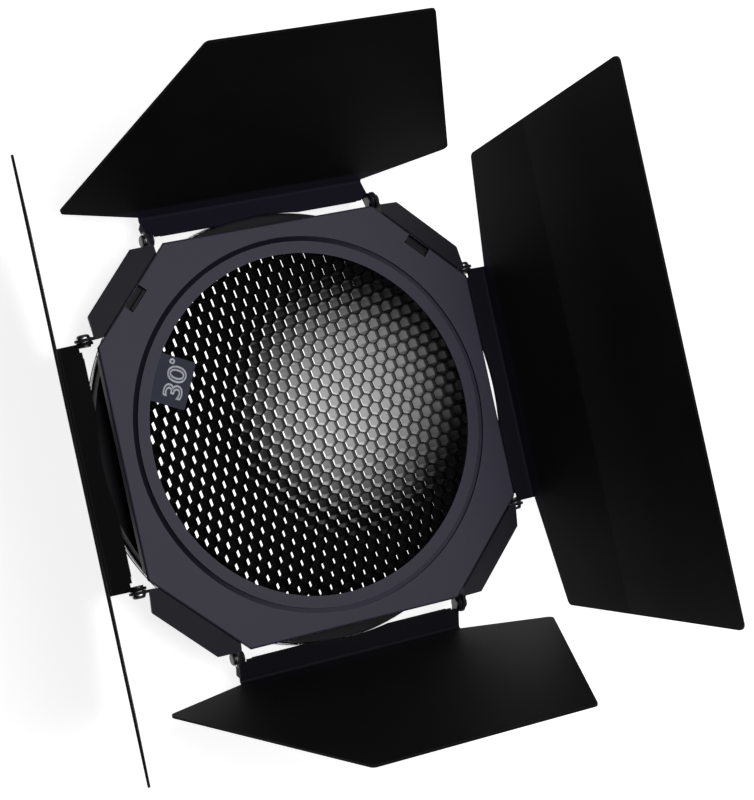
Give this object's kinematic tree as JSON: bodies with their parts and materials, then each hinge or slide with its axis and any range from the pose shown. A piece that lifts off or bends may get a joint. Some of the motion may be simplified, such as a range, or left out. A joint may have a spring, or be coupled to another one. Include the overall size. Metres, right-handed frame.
{
  "type": "barn door attachment",
  "caption": "Octagonal light modifier with hinged flaps round a honeycomb grid; a rear collar pushes onto a lamp head and the flaps shape the beam.",
  "frame": {"origin": "centre of the rear collar's mouth, in the plane of the rear rim", "axes": "+Z along the optical axis towards the front where the light leaves; +X through the middle of the right-hand large door, as seen from behind the lamp's front face in the usual view from the front; +Y through the middle of the top small door"},
  "size_m": [0.2959, 0.3252, 0.1493],
  "materials": {
    "satin_coat": "dark blue-grey satin powder coat",
    "leaf_coat": "near-black satin powder coat",
    "bright_wire": "bright zinc",
    "bright_washer": "zinc",
    "spring_steel": "plain spring steel",
    "rivet_black": "black",
    "black_band": "black anodised",
    "black_foil": "black coated foil",
    "label_black": "black with a light outline number"
  },
  "bodies": {
    "frame": {"face_plate": "satin_coat", "rear_collar": "satin_coat", "collar_hoop": "bright_wire", "grid_rim": "black_band", "honeycomb_core": "black_foil", "angle_tab": "label_black", "grid_clips": "spring_steel", "hinge_rivets_right": "rivet_black", "cap_washers_right": "bright_washer", "wave_washers_right": "spring_steel", "hinge_rivets_top": "rivet_black", "cap_washers_top": "bright_washer", "wave_washers_top": "spring_steel", "hinge_rivets_left": "rivet_black", "cap_washers_left": "bright_washer", "wave_washers_left": "spring_steel", "hinge_rivets_bottom": "rivet_black", "cap_washers_bottom": "bright_washer", "wave_washers_bottom": "spring_steel"},
    "door_right": {"door_right": "leaf_coat"},
    "door_top": {"door_top": "leaf_coat"},
    "door_left": {"door_left": "leaf_coat"},
    "door_bottom": {"door_bottom": "leaf_coat"}
  },
  "joints": [
    {"name": "right_door_hinge", "type": "hinge", "parent": "frame", "child": "door_right", "pos_m": [0.1015, 0, 0.018], "axis": [0, -1, 0], "range_deg": [-35.5, 29.5]},
    {"name": "top_door_hinge", "type": "hinge", "parent": "frame", "child": "door_top", "pos_m": [0, 0.1015, 0.018], "axis": [1, 0, 0], "range_deg": [-19.5, 75.5]},
    {"name": "left_door_hinge", "type": "hinge", "parent": "frame", "child": "door_left", "pos_m": [-0.1015, 0, 0.018], "axis": [0, 1, 0], "range_deg": [-26.5, 38.5]},
    {"name": "bottom_door_hinge", "type": "hinge", "parent": "frame", "child": "door_bottom", "pos_m": [0, -0.1015, 0.018], "axis": [-1, 0, 0], "range_deg": [-29, 66]}
  ]
}
